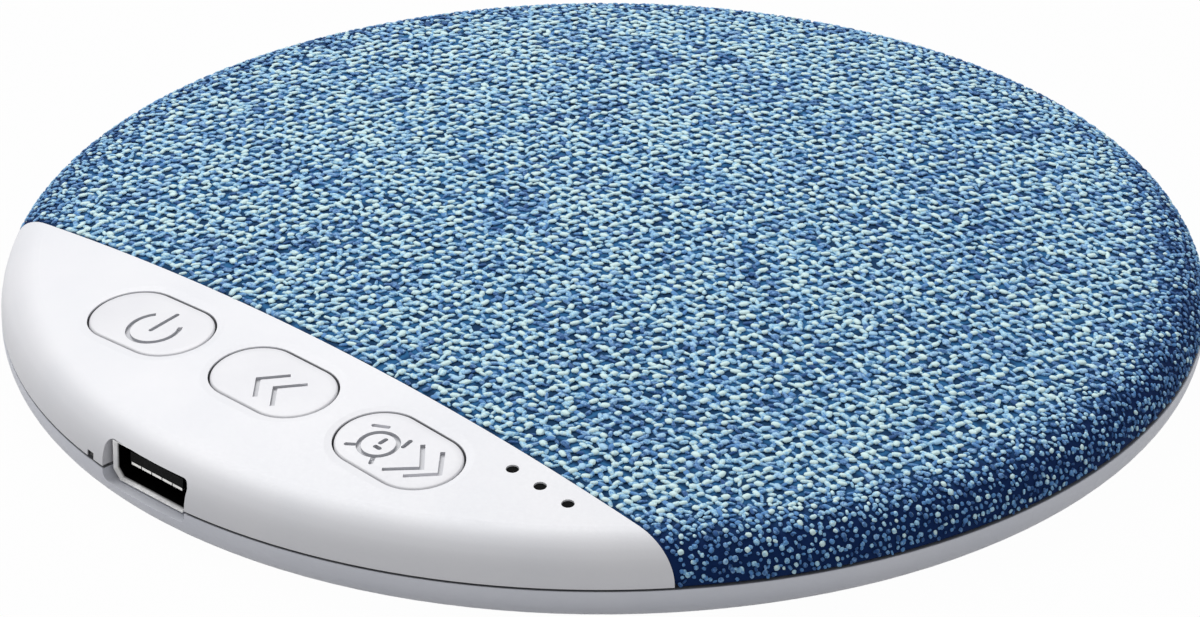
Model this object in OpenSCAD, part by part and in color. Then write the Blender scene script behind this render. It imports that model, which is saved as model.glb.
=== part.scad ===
// Flat round pillow speaker with a fabric top, a white control panel and a slim loudspeaker inside.
// Millimetres, +Z up, origin on the base plane below the centre, the control panel facing -Y.

/* [Housing] */
// Outer diameter of the speaker
body_d = 88; // [79:1:100]
// Height of the parting line above the base
part_z = 2.9; // [2.5:0.1:3.5]
// Upright stretch of the rim above the parting line
rim_wall = 0.3; // [0.2:0.1:1]
// Radius of the rounded rim
edge_r = 3.3; // [2.9:0.1:3.8]
// Radius of the domed top
dome_r = 260; // [200:5:360]
// Radius of the lower edge
base_r = 2.5; // [1.5:0.1:2.7]
// Thickness of the lower shell's floor
floor_t = 1.4; // [1.2:0.1:1.6]
// Height of the shadow gap at the parting line
part_gap = 0.2; // [0.1:0.05:0.3]
// Depth of the shadow gap from the outside
gap_depth = 0.8; // [0.5:0.1:1]
// Thickness of the lip inside the rim
lip_t = 0.9; // [0.7:0.1:1.2]
// Height of the lip above the parting line
lip_h = 0.75; // [0.7:0.05:0.8]
// Gap between the lip and what closes over it
lip_gap = 0.2; // [0.15:0.05:0.3]
// Depth of the snap groove in the lip
snap_depth = 0.35; // [0.25:0.05:0.45]
// Height of the snap groove
snap_h = 0.3; // [0.25:0.05:0.35]
// Gap around a snap bead in its groove
snap_gap = 0.05; // [0.03:0.01:0.08]
// Angle that one snap bead covers
snap_angle = 9; // [5:1:15]

/* [Control panel] */
// Distance from the front edge to the seam with the fabric
panel_depth = 17.5; // [15.6:0.1:19.4]
// Wall of the control panel
panel_wall = 1.3; // [1.1:0.1:1.4]
// Gap between the panel and the fabric at the seam
seam_gap = 0.05; // [0.03:0.01:0.1]
// Width of the ledge that carries the grille's front edge
ledge_w = 2; // [1.5:0.1:2.5]
// Thickness of the ledge
ledge_t = 1; // [0.8:0.1:1.1]
// Length of the ledge along the seam
ledge_l = 37; // [30:1:40]
// Width of the pry notch
pry_w = 0.8; // [0.6:0.1:2]
// Height of the pry notch
pry_h = 0.5; // [0.2:0.05:0.6]
// Place of the pry notch to the left of the middle
pry_x = 7.05; // [6.5:0.05:12]

/* [Keys] */
// Distance from the seam to the key openings
key_margin = 2.3; // [2:0.1:3]
// Distance between keys
key_pitch = 13.15; // [12:0.05:14.5]
// Length of a key opening
key_l = 10.75; // [9.5:0.05:11.8]
// Width of a key opening
key_w = 6.8; // [6:0.1:7.5]
// Gap round a key in its opening
key_gap = 0.15; // [0.1:0.01:0.2]
// How far a key's top lies below the panel
key_sink = 0.06; // [0:0.01:0.15]
// Width of a key's retaining flange beyond the opening
flange_w = 0.5; // [0.3:0.05:0.7]
// Thickness of a key's flange
flange_t = 0.7; // [0.5:0.05:0.8]
// Gap between a key's flange and the panel
flange_gap = 0.1; // [0.05:0.01:0.15]
// Diameter of the stem under a key
stem_d = 2.4; // [1.8:0.1:3]
// Width of the shallow dish round a key
dish_w = 1.1; // [0.6:0.1:1.3]
// Depth of the dish at the key's edge
dish_depth = 0.12; // [0.05:0.01:0.2]

/* [Switches] */
// Length of a switch body
switch_l = 4; // [3.5:0.1:4.5]
// Width of a switch body
switch_w = 3; // [2.8:0.1:3.4]
// Height of a switch without its plunger
switch_h = 1; // [0.9:0.05:1.05]
// Thickness of a switch's steel cover
cover_t = 0.15; // [0.1:0.05:0.2]
// Diameter of a plunger
plunger_d = 1.8; // [1.6:0.1:2]
// Running gap round a plunger
plunger_gap = 0.05; // [0.03:0.01:0.08]
// How far a plunger stands out of its switch
plunger_out = 0.4; // [0.35:0.05:0.45]
// Width of the plunger's collar beyond the plunger
collar_w = 0.3; // [0.2:0.05:0.4]
// Thickness of the plunger's collar
collar_t = 0.15; // [0.1:0.05:0.2]
// Thickness of a snap dome
snap_dome_t = 0.08; // [0.05:0.01:0.1]
// Diameter of a snap dome
snap_dome_d = 2.5; // [2.3:0.1:2.6]

/* [Indicators] */
// Diameter of an indicator hole
led_hole_d = 0.95; // [0.8:0.05:1.2]
// Distance between indicator holes
led_pitch = 2.82; // [2.4:0.02:3.2]
// Place of the first indicator hole to the right of the middle
led_x = 20.7; // [19:0.1:23]
// Distance from the seam to the indicator holes
led_inset = 1.85; // [1.7:0.05:2.2]
// How far the light pipe's pins end below the panel
pipe_sink = 0.1; // [0.05:0.05:0.3]
// Gap round a pin of the light pipe
pipe_gap = 0.05; // [0.02:0.01:0.08]
// Width of the light pipe's bar
pipe_w = 1.7; // [1.4:0.1:1.9]
// Thickness of the light pipe's bar
pipe_t = 0.6; // [0.4:0.05:0.7]
// Gap between an LED and the light pipe
pipe_lift = 0.3; // [0.2:0.05:0.4]
// Length of an LED
led_l = 1; // [0.8:0.1:1.6]
// Width of an LED
led_w = 0.5; // [0.4:0.1:0.8]
// Height of an LED
led_h = 0.6; // [0.4:0.05:0.65]

/* [Charging socket] */
// Place of the socket to the left of the middle
usb_x = 1; // [0:0.1:2]
// Corner radius of the opening
port_r = 0.7; // [0.5:0.1:1]
// How far the opening reaches below the parting line
port_drop = 0.95; // [0.85:0.05:1.1]
// Width of the socket's shell
usb_w = 8; // [7.2:0.1:8.8]
// Height of the socket's shell
usb_h = 3; // [2.7:0.05:3.1]
// Length of the socket's shell
usb_l = 4.8; // [4.3:0.1:5.2]
// Sheet thickness of the socket's shell
usb_t = 0.25; // [0.2:0.05:0.3]
// Chamfer of the two lower corners of the shell
usb_chamfer = 0.7; // [0.6:0.1:1.2]
// Sheet thickness left at the shell's flared mouth
mouth_t = 0.05; // [0.04:0.01:0.1]
// Length of the flare inside the shell's mouth
flare_l = 0.35; // [0.2:0.05:0.5]
// How far the shell's mouth lies behind the outside
usb_sink = 0.95; // [0.6:0.05:1.2]
// Gap below the shell in the opening
usb_lift = 0.15; // [0.1:0.05:0.3]
// Gap above the shell in the opening
usb_head = 0.1; // [0.1:0.05:0.4]
// Gap on each side of the shell in the opening
usb_side = 0.5; // [0.3:0.05:0.7]
// Length of the fixing tabs on the shell's sides
tab_l = 1.6; // [1.2:0.1:2]
// Width of the fixing tabs
tab_w = 1.1; // [0.8:0.1:1.2]
// Width of the contact tongue
tongue_w = 5.6; // [5:0.1:5.8]
// Thickness of the contact tongue
tongue_t = 0.8; // [0.6:0.05:0.9]
// How far the tongue ends behind the mouth
tongue_sink = 0.6; // [0.4:0.05:1]
// Length of the insert's rear block
block_l = 1.6; // [1.2:0.1:1.8]
// Gap round the insert in its shell
insert_gap = 0.03; // [0.02:0.01:0.05]
// Gap between the socket's contacts
contact_gap = 0.1; // [0.06:0.02:0.3]
// Thickness of a contact
contact_t = 0.2; // [0.1:0.02:0.24]

/* [Circuit board] */
// Thickness of the circuit board
board_t = 0.8; // [0.7:0.05:0.85]
// How far the board's underside lies below the parting line
board_drop = 0.3; // [0.25:0.05:0.35]
// Gap between the board and the lip
board_gap = 0.5; // [0.3:0.05:0.8]
// How far the board reaches behind the seam
board_behind = 2.2; // [1.9:0.1:2.5]
// Gap round the socket in the board
notch_gap = 0.2; // [0.1:0.05:0.3]
// Diameter of a board support post
post_d = 2.4; // [2:0.1:3]
// Distance of the front posts from the middle
front_post_x = 9.5; // [8.5:0.1:12]
// Distance of the rear posts from the middle
rear_post_x = 26; // [23.5:0.5:28.5]
// Distance of a post's middle from the board's edge
post_inset = 1.9; // [1.7:0.1:2.2]
// Gap between an outer key and a screw boss
boss_gap = 0.3; // [0.2:0.05:0.6]
// How far the board screws lie behind the middle of the key row
screw_behind = 1.2; // [0.8:0.1:1.3]
// Diameter of a screw's shank
screw_d = 1.4; // [1.2:0.1:1.5]
// Diameter of a screw's head
screw_head_d = 2.6; // [2.2:0.1:2.8]
// Height of a screw's head
screw_head_h = 0.7; // [0.5:0.05:0.75]
// Depth of a screw in its boss
screw_bite = 1.6; // [1.4:0.1:1.8]
// Diameter of a screw boss
boss_d = 3.2; // [3:0.1:3.4]
// Gap round a screw in its boss
screw_gap = 0.03; // [0.02:0.01:0.05]
// Gap round a screw in the board
board_hole_gap = 0.15; // [0.1:0.05:0.2]
// Side of the wireless chip
chip_a = 4.5; // [4:0.1:5]
// Height of the wireless chip
chip_h = 0.9; // [0.7:0.05:1]
// Length of the amplifier chip
amp_l = 4.4; // [4:0.1:4.8]
// Width of the amplifier chip
amp_w = 3; // [2.6:0.1:3.2]
// Height of the amplifier chip
amp_h = 1.1; // [0.9:0.05:1.2]
// Side of the inductor
coil_a = 3; // [2.5:0.1:3.2]
// Height of the inductor
coil_h = 1.2; // [1:0.05:1.3]
// Length of the crystal
crystal_l = 3.2; // [2.5:0.1:3.4]
// Width of the crystal
crystal_w = 2; // [1.6:0.1:2.5]
// Height of the crystal
crystal_h = 0.7; // [0.5:0.05:0.8]
// Distance from the board's rear edge to the row of chips
chip_inset = 2.7; // [2.6:0.1:2.8]

/* [Fabric and grille] */
// Thickness of the fabric
fabric_t = 0.6; // [0.5:0.05:0.7]
// Thickness of the grille
grille_t = 1.2; // [1:0.05:1.3]
// Glue line between the fabric and the grille
glue_t = 0.02; // [0.01:0.01:0.03]
// Diameter of a sound hole
hole_d = 2.6; // [2:0.1:3]
// Distance between sound holes
hole_pitch = 4.3; // [4:0.1:4.5]
// Rings of sound holes round the middle one
hole_rings = 3; // [2:1:3]
// Width of the grille's foot on the lower shell
foot_w = 0.8; // [0.6:0.05:0.9]
// How far the loudspeaker's seat reaches beyond it
seat_over = 0.3; // [0.2:0.05:0.6]

/* [Loudspeaker] */
// Place of the loudspeaker behind the middle
driver_y = 12; // [10.8:0.1:13.2]
// Gap between the loudspeaker and the floor
driver_gap = 0.15; // [0.1:0.05:0.2]
// Depth of the loudspeaker
driver_h = 3.35; // [3.3:0.05:3.7]
// Width of the frame's front flange
frame_flange_w = 3.1; // [2.8:0.1:3.5]
// Thickness of the frame's front flange
frame_flange_t = 0.6; // [0.5:0.05:0.65]
// Sheet thickness of the frame
frame_t = 0.6; // [0.5:0.05:0.7]
// Width of the frame's wall
frame_wall_w = 0.8; // [0.6:0.05:0.9]
// Height of the frame's underside above the yoke's
frame_lift = 0.25; // [0.2:0.05:0.3]
// Gap between the frame's wall and the surround
frame_clear = 0.4; // [0.35:0.05:0.5]
// Openings in the back of the frame
frame_windows = 6; // [4:1:8]
// Angle that one opening covers
window_angle = 40; // [30:1:40]
// Wall of the yoke
yoke_wall = 0.8; // [0.6:0.05:0.85]
// Base of the yoke
yoke_base = 0.8; // [0.6:0.05:0.85]
// Thickness of the magnet
magnet_t = 1.2; // [1:0.05:1.25]
// How far the pole plate stands over the magnet
pole_over = 0.3; // [0.1:0.05:0.6]
// Gap between the pole plate and the voice coil
pole_gap = 0.55; // [0.3:0.05:0.7]
// Gap between the voice coil and the yoke
coil_gap = 0.45; // [0.3:0.05:0.6]
// Thickness of the pole plate
pole_t = 0.6; // [0.5:0.05:0.65]
// Inner diameter of the voice coil
coil_d = 14.7; // [13:0.1:16.5]
// Wall of the voice coil
coil_wall = 0.4; // [0.3:0.05:0.45]
// Length of the voice coil
coil_l = 1.6; // [1.3:0.05:1.7]
// How far the voice coil's top lies below the frame's front
coil_drop = 0.2; // [0.15:0.05:0.25]
// Thickness of the diaphragm
cone_t = 0.25; // [0.2:0.05:0.3]
// Outer diameter of the diaphragm
cone_d = 25.4; // [22.5:0.1:28.5]
// Width of the diaphragm's flat border
cone_land_w = 1; // [0.8:0.1:1.2]
// Rise of the dust cap in the middle
cap_rise = 0.8; // [0.5:0.05:1]
// Radius of the surround's roll
roll_r = 1.2; // [1:0.05:1.25]
// Thickness of the surround
surround_t = 0.2; // [0.15:0.05:0.25]
// Width of the surround's two flat borders
surround_land_w = 1.3; // [1.2:0.05:1.35]
// Gap between the diaphragm and the roll
cone_gap = 0.1; // [0.05:0.01:0.15]
// Thickness of the gasket
gasket_t = 0.5; // [0.4:0.05:0.6]
// Gap beside the gasket
gasket_gap = 0.1; // [0.05:0.01:0.15]
// Length of the terminal plate
terminal_l = 5; // [4:0.1:6]
// Width of the terminal plate
terminal_w = 2.6; // [2.2:0.1:2.8]
// Thickness of the terminal plate
terminal_t = 0.5; // [0.4:0.05:0.6]

/* [Battery] */
// Length of the battery pouch
cell_l = 36; // [30:0.5:40]
// Width of the battery pouch
cell_w = 10.5; // [9.5:0.1:11.5]
// Thickness of the battery pouch
cell_t = 3.6; // [3:0.1:4]
// Corner radius of the pouch's cross-section
cell_r = 1.2; // [0.8:0.1:1.4]
// Place of the pouch to the left of the middle
cell_x = 1.5; // [1:0.1:2]
// Gap between the circuit board and the battery
cell_gap = 1.2; // [1.1:0.1:2]
// Length of the pouch's sealed end
seal_l = 3.2; // [3:0.1:3.5]
// Thickness of the pouch's sealed end
seal_t = 0.4; // [0.3:0.05:0.5]
// Length of the protection board
guard_l = 7.5; // [6:0.1:8]
// Thickness of the protection board
guard_t = 0.6; // [0.5:0.05:0.65]
// Gap between the protection board and the pouch
guard_gap = 0.3; // [0.2:0.05:0.4]
// Thickness of the battery pad
pad_t = 0.3; // [0.25:0.05:0.35]
// Margin of the battery pad inside the pouch
pad_margin = 2; // [1.5:0.1:3]
// Height of the ribs beside the battery
rib_h = 1; // [0.8:0.1:1.1]
// Thickness of the ribs beside the battery
rib_t = 0.8; // [0.6:0.1:0.9]
// Length of the ribs beside the battery
rib_l = 24; // [18:1:28]
// Gap between the battery and its ribs
rib_gap = 0.25; // [0.2:0.05:0.3]

/* [Leads] */
// Diameter of a lead
lead_d = 0.8; // [0.6:0.05:0.85]
// Distance between the two leads of a pair
lead_pitch = 1; // [0.9:0.05:1.1]
// Distance from the loudspeaker to the middle of its leads
lead_run = 1.1; // [1:0.05:1.2]
// How far a lead lies on the board
lead_lap = 1.6; // [1.2:0.1:1.8]
// Gap between the leads and the ends of the battery
lead_side = 2; // [1.8:0.1:2.2]

/* [Hidden] */
$fn = 96;
DOME_FN = 720;
RIM_FN = 180;
KEY_SIDES = [-1, 0, 1];
SIDES = [-1, 1];
CONTACTS = [-2, -1, 0, 1, 2];
GRILLE_BEADS = [-20, 20, 60, 90, 120, 160, 200];
PANEL_BEADS = [-115, -65];

// The outer surface: a dome that runs into a rounded rim without a crease
body_r = body_d / 2;
REACH = body_r / 2;
SINK = fabric_t / 2;
rim_c = body_r - edge_r;
rim_z = part_z + rim_wall;
dome_fall = asin(rim_c / (dome_r - edge_r));
dome_z = rim_z - (dome_r - edge_r) * cos(dome_fall);
top_z = dome_z + dome_r;
seat_z = part_z + part_gap / 2;
skirt_t = fabric_t + grille_t;
skirt_r = body_r - skirt_t;
lip_r = skirt_r - lip_gap;
seam_y = panel_depth - body_r;
groove_z = seat_z + snap_gap * 2;
foot_edge_r = min(base_r, part_z - part_gap);

// Keys and switches
key_end_r = key_w / 2;
key_y = seam_y - key_margin - key_end_r;
key_half = key_l / 2 - key_end_r;
key_depth = panel_wall + flange_gap + flange_t;
board_z = part_z - board_drop;
board_top = board_z + board_t;
switch_top = board_top + switch_h;
plunger_top = switch_top + plunger_out;
collar_top = switch_top - cover_t - plunger_gap;
collar_r = plunger_d / 2 + collar_w;
snap_dome_h = collar_top - collar_t - plunger_gap - board_top;

// Board, socket and indicators
board_r = lip_r - lip_t - board_gap;
board_rear = seam_y + board_behind;
screw_x = key_pitch + key_l / 2 + flange_w + boss_gap + boss_d / 2;
screw_y = key_y + screw_behind;
usb_front = usb_sink - body_r;
port_w = usb_w + 2 * usb_side;
port_h = usb_lift + usb_h + usb_head;
usb_z = part_z - port_drop + usb_lift;
contact_w = (tongue_w - (len(CONTACTS) + 1) * contact_gap) / len(CONTACTS);
contact_pitch = contact_w + contact_gap;
led_y = seam_y - led_inset;
pipe_z = board_top + led_h + pipe_lift;
chip_y = board_rear - chip_inset;

// Loudspeaker, from the floor up
yoke_z = floor_t + driver_gap;
front_z = yoke_z + driver_h;
seat_face_z = front_z + gasket_t;
roll_c = cone_d / 2 + cone_gap + roll_r;
land_out = roll_c + roll_r - surround_t + surround_land_w;
frame_inner_r = roll_c + roll_r - surround_t / 2;
driver_r = frame_inner_r + frame_flange_w;
pole_d = coil_d - 2 * pole_gap;
magnet_d = pole_d - 2 * pole_over;
yoke_d = coil_d + 2 * (coil_wall + coil_gap + yoke_wall);
coil_top = front_z - coil_drop;
pole_z = yoke_z + yoke_base + magnet_t;
cone_edge_z = front_z + surround_t;

// Battery and leads
cell_y = board_rear + cell_gap + cell_w / 2;
cell_z = floor_t + pad_t;
cell_left = -cell_x - cell_l / 2;
cell_right = cell_left + cell_l;
guard_w = seal_l - guard_gap;
lead_z = board_top + lead_d / 2;
guard_z = lead_z - guard_t / 2;

// Height of the outer surface set in by t at radius r
function dome_at(r, t) = dome_z + sqrt(pow(dome_r - t, 2) - r * r);

// Half section of everything below the outer surface set in by t and above height z0
module section(t, z0) {
  intersection() {
    union() {
      intersection() {
        translate([0, dome_z]) circle(r = dome_r - t, $fn = DOME_FN);
        polygon([
          [0, dome_z],
          [0, top_z + REACH],
          [(dome_r + REACH) * tan(dome_fall), top_z + REACH]
        ]);
      }
      translate([rim_c, rim_z]) circle(r = edge_r - t);
      translate([0, z0 - REACH]) square([body_r - t, rim_z - z0 + REACH]);
    }
    translate([0, z0]) square([body_d, top_z]);
  }
}

// The solid below the outer surface set in by t
module dome(t, z0 = part_z) rotate_extrude($fn = RIM_FN) section(t, z0);

// Everything in front of or behind an upright plane across the body
module before(y) translate([-body_d, y - body_d, -REACH]) cube([2 * body_d, body_d, 3 * REACH]);
module behind(y) translate([-body_d, y, -REACH]) cube([2 * body_d, body_d, 3 * REACH]);

// Outline with two round ends, widened by more
module oblong(half, r) {
  square([2 * half, 2 * r], center = true);
  for (s = SIDES) translate([s * half, 0]) circle(r = r);
}

// Rectangle with round corners, standing on y = 0
module rounded(w, h, r) {
  translate([-w / 2, r]) square([w, h - 2 * r]);
  translate([r - w / 2, 0]) square([w - 2 * r, h]);
  for (s = SIDES, y = [r, h - r]) translate([s * (w / 2 - r), y]) circle(r = r);
}

// An outline drawn in X and Z, drawn out along Y
module along_y(y0, y1) translate([0, y1, 0]) rotate([90, 0, 0]) linear_extrude(y1 - y0) children();

// An outline drawn in Y and Z, drawn out along X
module along_x(x0, x1) translate([x0, 0, 0]) rotate([90, 0, 90]) linear_extrude(x1 - x0) children();

// A ring about the Z axis
module ring(r0, r1, h) rotate_extrude() translate([r0, 0]) square([r1 - r0, h]);

// A box centred in X and Y, standing on its underside
module block(l, w, h) translate([-l / 2, -w / 2, 0]) cube([l, w, h]);

// The opening for the charging socket, through the rim
module port_cut() translate([-usb_x, 0, part_z - port_drop])
  along_y(-body_d, usb_front + usb_l) rounded(port_w, port_h, port_r);

// Snap beads inside the rim at the given angles
module beads(angles) {
  bead_r = lip_r - snap_depth + snap_gap;
  for (a = angles) rotate(a - snap_angle / 2) rotate_extrude(angle = snap_angle, $fn = RIM_FN)
    translate([bead_r, groove_z + snap_gap]) square([skirt_r - bead_r + SINK, snap_h - 2 * snap_gap]);
}

// A lead of round wire through a list of points
module lead(points) {
  for (i = [1:len(points) - 1]) {
    run = points[i] - points[i - 1];
    translate(points[i - 1]) rotate([0, acos(run[2] / norm(run)), atan2(run[1], run[0])])
      cylinder(d = lead_d, h = norm(run), $fn = 24);
    if (i < len(points) - 1) translate(points[i]) sphere(d = lead_d, $fn = 24);
  }
}

// Lower shell: a shallow tray with a rounded lower edge, a lip with a snap groove, posts and ribs
module bottom_shell() color("whitesmoke") {
  difference() {
    rotate_extrude($fn = RIM_FN) difference() {
      union() {
        square([body_r - foot_edge_r, part_z - part_gap / 2]);
        translate([0, foot_edge_r]) square([body_r, part_z - part_gap / 2 - foot_edge_r]);
        intersection() {
          translate([body_r - foot_edge_r, foot_edge_r]) circle(r = foot_edge_r);
          square([body_r, part_z - part_gap / 2]);
        }
        translate([0, foot_edge_r]) square([body_r - gap_depth, seat_z - foot_edge_r]);
        translate([0, foot_edge_r]) square([lip_r, part_z + lip_h - foot_edge_r]);
      }
      translate([0, floor_t]) square([lip_r - lip_t, REACH]);
      translate([lip_r - snap_depth, groove_z]) square([2 * snap_depth, snap_h]);
      translate([lip_r, seat_z]) square([body_r, REACH]);
    }
    port_cut();
  }
  for (s = SIDES) {
    translate([s * front_post_x, -sqrt(pow(board_r - post_inset, 2) - pow(front_post_x, 2)), floor_t - SINK])
      cylinder(d = post_d, h = board_z - floor_t + SINK);
    translate([s * rear_post_x, board_rear - post_inset, floor_t - SINK])
      cylinder(d = post_d, h = board_z - floor_t + SINK);
    translate([-cell_x, cell_y + s * (cell_w / 2 + rib_gap + rib_t / 2), floor_t - SINK])
      block(rib_l, rib_t, rib_h + SINK);
  }
}

// The frame of one key: on the dome's surface above the key, with Z along the surface's normal
module on_dome(x) {
  r = norm([x, key_y]);
  turn = atan2(key_y, x);
  translate([x, key_y, dome_at(r, 0)])
    rotate([0, 0, turn]) rotate([0, asin(r / dome_r), 0]) rotate([0, 0, -turn]) children();
}

// Shallow dish round a key: an oblong funnel whose foot lies inside the opening
module key_dish() {
  low_r = key_end_r - SINK;
  high_r = key_end_r + 2 * dish_w;
  low = -dish_depth * (1 + SINK / dish_w);
  for (s = SIDES) translate([s * key_half, 0, low]) cylinder(r1 = low_r, r2 = high_r, h = dish_depth - low);
  along_x(-key_half, key_half)
    polygon([[-low_r, low], [low_r, low], [high_r, dish_depth], [-high_r, dish_depth]]);
}

// Control panel: the white front segment of the top, with key openings, bosses and a ledge for the grille
module control_panel() color("white") {
  difference() {
    intersection() {
      rotate_extrude($fn = RIM_FN) difference() {
        section(0, seat_z);
        intersection() {
          section(panel_wall, seat_z - SINK);
          square([skirt_r, top_z]);
        }
      }
      before(seam_y);
    }
    for (k = KEY_SIDES) {
      translate([k * key_pitch, key_y, part_z]) linear_extrude(REACH) oblong(key_half, key_end_r);
      on_dome(k * key_pitch) key_dish();
    }
    for (i = [0:2]) translate([led_x + i * led_pitch, led_y, part_z])
      cylinder(d = led_hole_d, h = REACH, $fn = 32);
    port_cut();
    translate([-pry_x, -body_r, seat_z - SINK]) block(pry_w, 2 * gap_depth, pry_h + SINK);
  }
  intersection() {
    union() {
      difference() {
        dome(panel_wall - SINK);
        dome(skirt_t + seam_gap + ledge_t, part_z - SINK);
        behind(seam_y);
      }
      difference() {
        dome(skirt_t + seam_gap);
        dome(skirt_t + seam_gap + ledge_t, part_z - SINK);
      }
    }
    translate([-ledge_l / 2, seam_y - ledge_t, part_z]) cube([ledge_l, ledge_t + ledge_w, REACH]);
  }
  difference() {
    intersection() {
      for (s = SIDES) translate([s * screw_x, screw_y, board_top]) cylinder(d = boss_d, h = REACH);
      dome(panel_wall - SINK);
    }
    for (s = SIDES) translate([s * screw_x, screw_y, board_top - SINK])
      cylinder(d = screw_d + 2 * screw_gap, h = screw_bite + 2 * SINK, $fn = 32);
  }
  beads(PANEL_BEADS);
}

// Grille: the domed plate under the fabric, with sound holes and the loudspeaker's seat
module grille() color("dimgray") {
  difference() {
    union() {
      intersection() {
        rotate_extrude($fn = RIM_FN) difference() {
          union() {
            section(fabric_t + glue_t, seat_z + fabric_t + glue_t);
            translate([0, seat_z]) square([skirt_r + foot_w - glue_t, fabric_t + SINK]);
          }
          section(skirt_t, seat_z - SINK);
        }
        behind(seam_y + seam_gap + fabric_t + glue_t);
      }
      intersection() {
        translate([0, driver_y, seat_face_z]) ring(land_out + gasket_gap, driver_r + seat_over, REACH);
        dome(skirt_t - SINK);
      }
    }
    for (q = [-hole_rings:hole_rings], r = [-hole_rings:hole_rings])
      if (abs(q + r) <= hole_rings) translate([(q + r / 2) * hole_pitch, driver_y + r * hole_pitch * sin(60), part_z])
        cylinder(d = hole_d, h = REACH, $fn = 24);
  }
  beads(GRILLE_BEADS);
}

// Fabric: a cover over the grille, turned in at its foot and down its front edge
module fabric_cover() color("steelblue") difference() {
  intersection() {
    dome(0, seat_z);
    behind(seam_y + seam_gap);
  }
  intersection() {
    dome(fabric_t, seat_z + fabric_t);
    behind(seam_y + seam_gap + fabric_t);
  }
  dome(skirt_t, seat_z - SINK);
  translate([0, 0, seat_z - SINK]) cylinder(r = skirt_r + foot_w, h = fabric_t + SINK, $fn = RIM_FN);
}

// A key: an oblong cap flush with the dome, a flange under the panel and a stem on the switch
module key(x) color("white") {
  difference() {
    intersection() {
      union() {
        translate([x, key_y, part_z]) linear_extrude(REACH) oblong(key_half, key_end_r - key_gap);
        intersection() {
          translate([x, key_y, part_z]) linear_extrude(REACH) oblong(key_half, key_end_r + flange_w);
          dome(panel_wall + flange_gap);
        }
      }
      dome(key_sink);
    }
    dome(key_depth, part_z - SINK);
  }
  intersection() {
    translate([x, key_y, plunger_top]) cylinder(d = stem_d, h = REACH, $fn = 48);
    dome(key_depth - SINK);
  }
}
module key_power() key(-key_pitch);
module key_back() key(0);
module key_forward() key(key_pitch);

// A switch's plunger, held by a collar under the cover
module plunger(x) color("black") translate([x, key_y, collar_top - collar_t]) {
  cylinder(r = collar_r, h = collar_t, $fn = 48);
  cylinder(d = plunger_d, h = plunger_top - collar_top + collar_t, $fn = 48);
}
module plunger_power() plunger(-key_pitch);
module plunger_back() plunger(0);
module plunger_forward() plunger(key_pitch);

// A switch's snap dome: a thin round cap of spring steel
module snap_dome(x) color("silver") translate([x, key_y, board_top]) {
  ball_r = (pow(snap_dome_d / 2, 2) + pow(snap_dome_h, 2)) / (2 * snap_dome_h);
  rotate_extrude($fn = 48) intersection() {
    translate([0, snap_dome_h - ball_r]) difference() {
      circle(r = ball_r);
      circle(r = ball_r - snap_dome_t);
    }
    square([snap_dome_d, snap_dome_h + SINK]);
  }
}
module snap_dome_power() snap_dome(-key_pitch);
module snap_dome_back() snap_dome(0);
module snap_dome_forward() snap_dome(key_pitch);

// Switch bodies on the board, each open in the middle
module switch_bodies() color("black") for (k = KEY_SIDES) translate([k * key_pitch, key_y, board_top])
  difference() {
    block(switch_l, switch_w, switch_h - cover_t);
    translate([0, 0, -SINK])
      cylinder(r = max(collar_r, snap_dome_d / 2) + plunger_gap, h = switch_h + SINK, $fn = 48);
  }

// Steel covers that hold the plungers in the switches
module switch_covers() color("silver") for (k = KEY_SIDES)
  translate([k * key_pitch, key_y, switch_top - cover_t]) difference() {
    block(switch_l, switch_w, cover_t);
    translate([0, 0, -SINK]) cylinder(d = plunger_d + 2 * plunger_gap, h = cover_t + 2 * SINK, $fn = 48);
  }

// Circuit board: a segment of a disc with a notch for the socket and two screw holes
module main_board() color("darkgreen") difference() {
  intersection() {
    translate([0, 0, board_z]) cylinder(r = board_r, h = board_t, $fn = RIM_FN);
    before(board_rear);
  }
  translate([-usb_x, usb_front, board_z - SINK]) block(usb_w + 2 * notch_gap, 2 * (usb_l + notch_gap), board_t + 2 * SINK);
  for (s = SIDES) translate([s * screw_x, screw_y, board_z - SINK])
    cylinder(d = screw_d + 2 * board_hole_gap, h = board_t + 2 * SINK, $fn = 32);
}

// Screws from below through the board into the panel's bosses
module board_screws() color("silver") for (s = SIDES) translate([s * screw_x, screw_y, board_z - screw_head_h]) {
  cylinder(d = screw_head_d, h = screw_head_h, $fn = 48);
  cylinder(d = screw_d, h = screw_head_h + board_t + screw_bite, $fn = 32);
}

// Parts on the board between the keys and the seam
module wireless_chip() color("black") translate([-key_pitch / 2, chip_y, board_top]) block(chip_a, chip_a, chip_h);
module amplifier_chip() color("black") translate([key_pitch / 2, chip_y, board_top]) block(amp_l, amp_w, amp_h);
module inductor() color("gray") translate([key_pitch, chip_y, board_top]) block(coil_a, coil_a, coil_h);
module crystal() color("silver") translate([-key_pitch, chip_y, board_top])
  block(crystal_l, crystal_w, crystal_h);
module indicator_leds() color("ivory") for (i = [0:2])
  translate([led_x + i * led_pitch, led_y, board_top]) block(led_l, led_w, led_h);

// Light pipe: three pins in the panel's holes on one bar over the LEDs
module light_pipe() color("dimgray") {
  translate([led_x + led_pitch, led_y, pipe_z]) block(2 * led_pitch + pipe_w, pipe_w, pipe_t);
  intersection() {
    for (i = [0:2]) translate([led_x + i * led_pitch, led_y, pipe_z])
      cylinder(d = led_hole_d - 2 * pipe_gap, h = REACH, $fn = 32);
    dome(pipe_sink);
  }
}

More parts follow.
